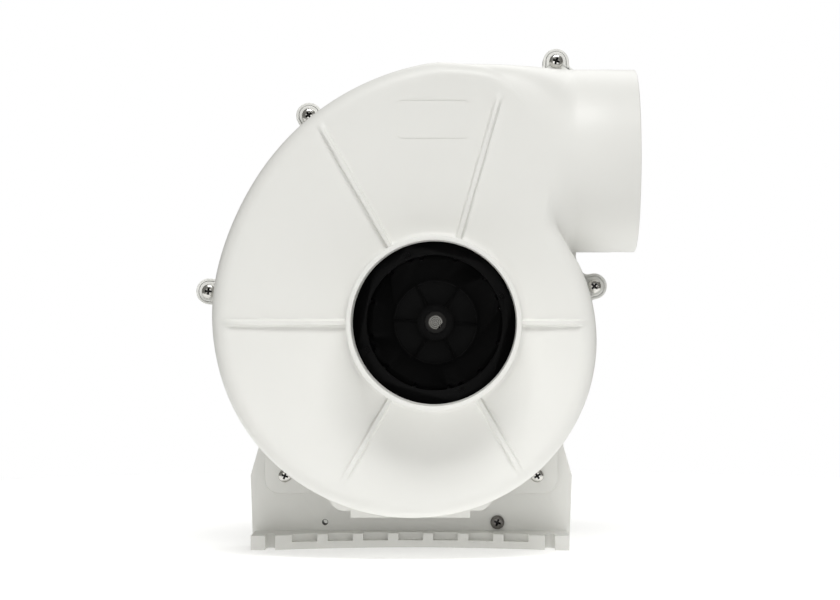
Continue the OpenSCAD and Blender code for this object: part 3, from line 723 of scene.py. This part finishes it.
def shaft_hole(_angle):
    """The hole round the shaft, which is the same on every spoke."""
    return [(SHAFT_HOLE_R, BACK_DEPTH - 1.4), (SHAFT_HOLE_R, BACK_DEPTH - WALL + 0.3)]


def make_rear_casing():
    """Rear half, whose lip overlaps the front half's rim."""
    lip = [(LIP_GAP, 0), (LIP_GAP, -LIP_DEPTH), (LIP - 0.3, -LIP_DEPTH), (LIP, 0.3 - LIP_DEPTH),
           (LIP, LIP_BACK - 0.3), (LIP - 0.3, LIP_BACK), (0, LIP_BACK)]
    bm = shell(BACK_DEPTH, side=1, window_x=OUTLET_ROOT - 0.1,
               hole_r=(SHAFT_HOLE_R + 0.3, SHAFT_HOLE_R + 0.3), hole_profile=shaft_hole,
               base=LIP_BACK, lip=lip, ribs=False)
    ease_crease(bm, 1)
    bm = joined(bm, [tongue(1), flange()] + [rear_lug(*lug) for lug in LUGS])
    add_piece("rear_casing_shell", bm, "casing", "white_plastic", ["rear_casing"])


make_front_cover()
make_rear_casing()

# ---------- Screws ----------


def turned(profile, steps=48):
    """Solid turned about Y from a profile of (radius, y) points that starts and ends on the axis."""
    bm = bmesh.new()
    turns = [2 * pi * i / steps for i in range(steps)]
    rows = [[bm.verts.new(Vector((r * cos(a), y, r * sin(a))) * MM) for r, y in profile]
            for a in turns]
    for a, b in zip(rows, rows[1:] + rows[:1]):
        for i in range(len(profile) - 1):
            bm.faces.new((a[i], a[i + 1], b[i + 1], b[i]))
    return cleaned(bm)


def recess_arm(head_r, head_h, turn):
    """One tapering arm of a cross recess, as a solid to cut with."""
    long, wide, deep = head_r * 0.52, head_r * 0.16, head_h * 0.75
    levels = ((-head_h - 1, 1.25), (-head_h * 0.95, 1.0), (deep - head_h, 0.35))
    arm = bmesh.new()
    loft(arm, [[Vector((sx * long * k, y, sz * wide * (0.5 + 0.5 * k))) * MM
                for sx, sz in ((-1, -1), (1, -1), (1, 1), (-1, 1))] for y, k in levels],
         loop=False)
    bmesh.ops.rotate(arm, verts=arm.verts, matrix=Matrix.Rotation(radians(turn), 3, "Y"))
    bmesh.ops.recalc_face_normals(arm, faces=arm.faces)
    return arm


def pan_screw(head_r, length):
    """Pan head screw with a cross recess, its head towards -Y and its seat at the origin."""
    head_h = head_r * 0.68
    profile = [(0, -head_h)]
    profile += [(head_r * sin(radians(t)) ** 0.85, -head_h * (0.42 + 0.58 * cos(radians(t)) ** 0.9))
                for t in range(10, 90, 8)]
    profile += [(head_r, -head_h * 0.4), (head_r, -0.15), (head_r - 0.15, 0), (SHANK_R, 0),
                (SHANK_R, length - 1.2), (1.2, length), (0, length)]
    piece = scratch(turned(profile))
    cutters = [scratch(recess_arm(head_r, head_h, turn)) for turn in (20, 110)]
    for cutter in cutters:
        cut = piece.modifiers.new("recess", "BOOLEAN")
        cut.operation = "DIFFERENCE"
        cut.solver = "EXACT"
        cut.object = cutter
    mesh = evaluated(piece, cutters)
    paint_recess_shade(mesh, head_r)
    return mesh


def paint_recess_shade(mesh, head_r):
    """Gives the faces inside a screw's cross recess the second, near-black material: painted shade in
    the recess.
    """
    for face in mesh.polygons:
        x, y, z = face.center / MM
        in_head = head_r * 0.05 < -y < head_r * 0.57
        face.material_index = int(in_head and hypot(x, z) < head_r * 0.6)


def add_screws(name, node, slot, spots, head_r, length):
    """Screws at (point, from behind) places, as one piece that stands for a node."""
    master = pan_screw(head_r, length)
    bm = bmesh.new()
    for i, (place, behind) in enumerate(spots):
        start = len(bm.verts)
        bm.from_mesh(master)
        bm.verts.ensure_lookup_table()
        turn = Matrix.Rotation(radians(37 * i), 4, "Y")
        flip = Matrix.Rotation(pi if behind else 0, 4, "Z")
        bmesh.ops.transform(bm, matrix=Matrix.Translation(place) @ flip @ turn,
                            verts=bm.verts[start:])
    bpy.data.meshes.remove(master)
    piece = add_piece(name, bm, "casing", slot, [node], 40)
    # Second material: near-black painted shade in the cross recesses.
    piece.data.materials.append(painted_shade_black)


add_screws("casing_pan_screws", "casing_screws", "stainless",
           [(spot(x, -LUG_FRONT, z), False) for x, z, _, _ in LUGS], head_r=HEAD_R, length=14)
add_screws("flange_pan_screws", "flange_screws", "stainless",
           [(base_spot(x, FLANGE_FRONT, FLANGE_LOW_ROW), False) for x in FLANGE_COLUMNS]
           + [(base_spot(x, PLATE_BACK, FLANGE_HIGH_ROW), True) for x in FLANGE_COLUMNS],
           head_r=HEAD_R, length=6.9)
add_screws("cover_pan_screws", "cover_screws", "stainless",
           [(spot(COVER_SCREW_RING * cos(radians(a)), PLATE_BACK + COVER_EAR,
                  COVER_SCREW_RING * sin(radians(a))), True) for a in (45, 135, 225, 315)],
           head_r=3.5, length=8.5)
add_screws("bracket_pan_screw", "bracket_screw", "dark_steel",
           [(base_spot(FOOT_HOLE_X, PLATE_FRONT, FOOT_HOLE_Z), False)], head_r=4.0, length=9)


def add_shaded_hole_lining():
    """Bush that lines the small hole on the left of the plate, drawn near-black: painted shade inside
    the hole.
    """
    front, back = PLATE_FRONT + 0.3, PLATE_BACK + 6
    bush = ring_around([(HOLE_LINING_R, front), (HOLE_LINING_R, back), (HOLE_LINING_BORE_R, back),
                        (HOLE_LINING_BORE_R, front)],
                       about_y(-FOOT_HOLE_X - SHAFT_X, FOOT_HOLE_Z - SHAFT_Z), 32)
    piece = add_piece("hole_lining_painted_shade", bush, "casing", "dark_steel")
    # Near-black painted shade, so that the hole reads dark.
    piece.data.materials[0] = painted_shade_black


add_shaded_hole_lining()

# ---------- Softened mouldings ----------


def softened(name, node, body, slot, width):
    """Adds a copy of a node's mesh with its edges rounded."""
    bm = bmesh.new()
    bm.from_mesh(frame["nodes"][node].data)
    bmesh.ops.remove_doubles(bm, verts=bm.verts, dist=MERGE)
    bmesh.ops.dissolve_limit(bm, angle_limit=radians(1), verts=bm.verts, edges=bm.edges,
                             delimit={"NORMAL"})
    piece = scratch(bm)
    rounding = piece.modifiers.new("rounding", "BEVEL")
    rounding.width = width * MM
    rounding.segments = 3
    rounding.limit_method = "ANGLE"
    rounding.angle_limit = radians(32)
    rounded = bmesh.new()
    mesh = evaluated(piece)
    rounded.from_mesh(mesh)
    bpy.data.meshes.remove(mesh)
    cleaned(rounded)
    add_piece(name, rounded, body, slot, [node], 40)


softened("bracket_moulding", "mounting_bracket", "casing", "white_plastic", 0.8)
softened("motor_cover_moulding", "motor_cover", "casing", "white_plastic", 0.6)
softened("fan_wheel_moulding", "fan_wheel", "rotor", "black_plastic", 0.3)
softened("wheel_shroud_moulding", "wheel_shroud", "rotor", "black_plastic", 0.4)

# ---------- Brush springs ----------

for side, name in ((1, "upper"), (-1, "lower")):
    node = name + "_brush_spring"
    coil = bmesh.new()
    coil.from_mesh(frame["nodes"][node].data)
    bmesh.ops.remove_doubles(coil, verts=coil.verts, dist=1e-6)
    spring = add_piece(name + "_spring_wire", coil, "casing", slot_of[node], [node])
    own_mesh(spring)

# ---------- Camera, lamps and floor ----------
scene = bpy.context.scene
scene.view_settings.view_transform = "Standard"

camera = bpy.data.objects.new("camera", bpy.data.cameras.new("camera"))
scene.collection.objects.link(camera)
scene.camera = camera
camera.data.sensor_width = 36
camera.data.lens = 100
camera.data.shift_x = -0.0476
camera.data.shift_y = 0.0143
camera.location = (0.0282, -1.377, 0.1345)
camera.rotation_euler = (pi / 2, 0, 0)


def softbox(name, place, target, size, power):
    """Large soft lamp, turned towards a target."""
    data = bpy.data.lights.new(name, "AREA")
    data.shape = "RECTANGLE"
    data.size, data.size_y = size
    data.energy = power
    lamp = bpy.data.objects.new(name, data)
    scene.collection.objects.link(lamp)
    lamp.location = place
    lamp.rotation_euler = (Vector(target) - Vector(place)).to_track_quat("-Z", "Y").to_euler()


softbox("key", (0.12, -1.15, 1.75), (0.02, -0.05, 0.12), (1.2, 0.6), 26)
softbox("front", (0.05, -2.5, 0.2), (0.02, -0.05, 0.12), (1.6, 0.8), 7)
softbox("rear", (0.5, 1.5, 1.9), (0, 0, 0.1), (1.8, 1.4), 18)


def light_world():
    """Dim warm light all round, behind a backdrop that shows pure white."""
    world = bpy.data.worlds.new("studio")
    scene.world = world
    world.use_nodes = True
    tree = world.node_tree
    ambient = tree.nodes["Background"]
    ambient.inputs["Color"].default_value = (1, 0.99, 0.93, 1)
    ambient.inputs["Strength"].default_value = 0.2
    backdrop = tree.nodes.new("ShaderNodeBackground")
    backdrop.inputs["Color"].default_value = (1, 1, 1, 1)
    backdrop.inputs["Strength"].default_value = 1.0
    ray = tree.nodes.new("ShaderNodeLightPath")
    mix = tree.nodes.new("ShaderNodeMixShader")
    tree.links.new(ray.outputs["Is Camera Ray"], mix.inputs["Fac"])
    tree.links.new(ambient.outputs["Background"], mix.inputs[1])
    tree.links.new(backdrop.outputs["Background"], mix.inputs[2])
    tree.links.new(mix.outputs["Shader"], tree.nodes["World Output"].inputs["Surface"])


def lay_floor():
    """Disc of bright paper under the part, which catches its shadow."""
    disc = bmesh.new()
    bmesh.ops.create_circle(disc, cap_ends=True, segments=128, radius=0.6)
    mesh = bpy.data.meshes.new("floor")
    disc.to_mesh(mesh)
    disc.free()
    floor_piece = bpy.data.objects.new("floor", mesh)
    scene.collection.objects.link(floor_piece)
    paper, _, shader = new_material("paper")
    shader.inputs["Base Color"].default_value = (0.93, 0.93, 0.925, 1)
    shader.inputs["Roughness"].default_value = 0.9
    shader.inputs["Emission Color"].default_value = (1, 1, 1, 1)
    shader.inputs["Emission Strength"].default_value = 0.37
    mesh.materials.append(paper)


light_world()
lay_floor()
